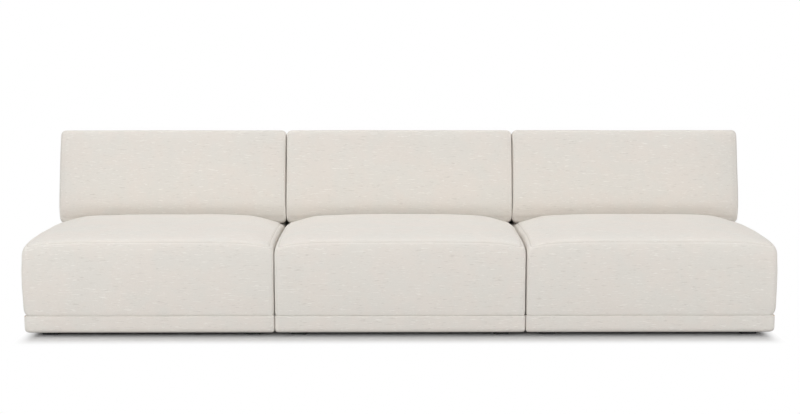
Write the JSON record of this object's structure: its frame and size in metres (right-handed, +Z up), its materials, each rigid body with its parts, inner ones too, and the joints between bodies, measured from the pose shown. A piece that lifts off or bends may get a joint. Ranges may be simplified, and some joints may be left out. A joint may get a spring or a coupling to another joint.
{
  "type": "armless sofa",
  "caption": "Modular armless sofa in off-white woven cloth: thick crowned seats on a recessed wrapped plinth, with leaning loose back cushions.",
  "frame": {"origin": "centre of the sofa's footprint, on the floor", "axes": "+X along the sofa's length, to the right for someone who looks at its front, -Y towards its front, +Z up"},
  "size_m": [2.909, 1, 0.7524],
  "materials": {
    "upholstery": "woven, off-white",
    "foam": "open-cell foam",
    "padding": "polyester wadding",
    "cushion_filling": "fibre-wrapped foam",
    "frame_wood": "sawn softwood",
    "plywood": "plywood",
    "webbing": "woven elastic strap",
    "dust_cloth": "non-woven cloth",
    "foot_plastic": "moulded, matt black",
    "spring_steel": "drawn wire",
    "fastener_steel": "zinc plated",
    "connector_steel": "black powder coat"
  },
  "bodies": {
    "centre_module": {"centre_plinth_frame": "frame_wood", "centre_plinth_cover": "upholstery", "centre_feet": "foot_plastic", "centre_foot_screws": "fastener_steel", "centre_dust_cover": "dust_cloth", "centre_seat_frame": "frame_wood", "centre_seat_springs": "spring_steel", "centre_spring_clips": "fastener_steel", "centre_seat_foam": "foam", "centre_rail_padding": "padding", "centre_seat_cover": "upholstery", "centre_back_frame": "plywood", "centre_back_webbing": "webbing", "centre_back_padding": "padding", "centre_back_cover": "upholstery", "centre_back_screws": "fastener_steel", "centre_connector_sockets": "connector_steel", "centre_connector_screws": "fastener_steel"},
    "centre_back_cushion": {"centre_back_cushion_core": "cushion_filling", "centre_back_cushion_cover": "upholstery"},
    "left_module": {"left_plinth_frame": "frame_wood", "left_plinth_cover": "upholstery", "left_feet": "foot_plastic", "left_foot_screws": "fastener_steel", "left_dust_cover": "dust_cloth", "left_seat_frame": "frame_wood", "left_seat_springs": "spring_steel", "left_spring_clips": "fastener_steel", "left_seat_foam": "foam", "left_rail_padding": "padding", "left_seat_cover": "upholstery", "left_back_frame": "plywood", "left_back_webbing": "webbing", "left_back_padding": "padding", "left_back_cover": "upholstery", "left_back_screws": "fastener_steel", "left_connector_tongues": "connector_steel", "left_connector_screws": "fastener_steel"},
    "left_back_cushion": {"left_back_cushion_core": "cushion_filling", "left_back_cushion_cover": "upholstery"},
    "right_module": {"right_plinth_frame": "frame_wood", "right_plinth_cover": "upholstery", "right_feet": "foot_plastic", "right_foot_screws": "fastener_steel", "right_dust_cover": "dust_cloth", "right_seat_frame": "frame_wood", "right_seat_springs": "spring_steel", "right_spring_clips": "fastener_steel", "right_seat_foam": "foam", "right_rail_padding": "padding", "right_seat_cover": "upholstery", "right_back_frame": "plywood", "right_back_webbing": "webbing", "right_back_padding": "padding", "right_back_cover": "upholstery", "right_back_screws": "fastener_steel", "right_connector_tongues": "connector_steel", "right_connector_screws": "fastener_steel"},
    "right_back_cushion": {"right_back_cushion_core": "cushion_filling", "right_back_cushion_cover": "upholstery"}
  },
  "joints": [
    {"name": "left_module_lift", "type": "slide", "parent": "centre_module", "child": "left_module", "axis": [0, 0, 1], "range_m": [0, 0.06]},
    {"name": "right_module_lift", "type": "slide", "parent": "centre_module", "child": "right_module", "axis": [0, 0, 1], "range_m": [0, 0.06]},
    {"name": "left_back_cushion_lift", "type": "slide", "parent": "left_module", "child": "left_back_cushion", "axis": [0, 0.225, 0.9744], "range_m": [0, 0.4]},
    {"name": "centre_back_cushion_lift", "type": "slide", "parent": "centre_module", "child": "centre_back_cushion", "axis": [0, 0.225, 0.9744], "range_m": [0, 0.4]},
    {"name": "right_back_cushion_lift", "type": "slide", "parent": "right_module", "child": "right_back_cushion", "axis": [0, 0.225, 0.9744], "range_m": [0, 0.4]}
  ]
}
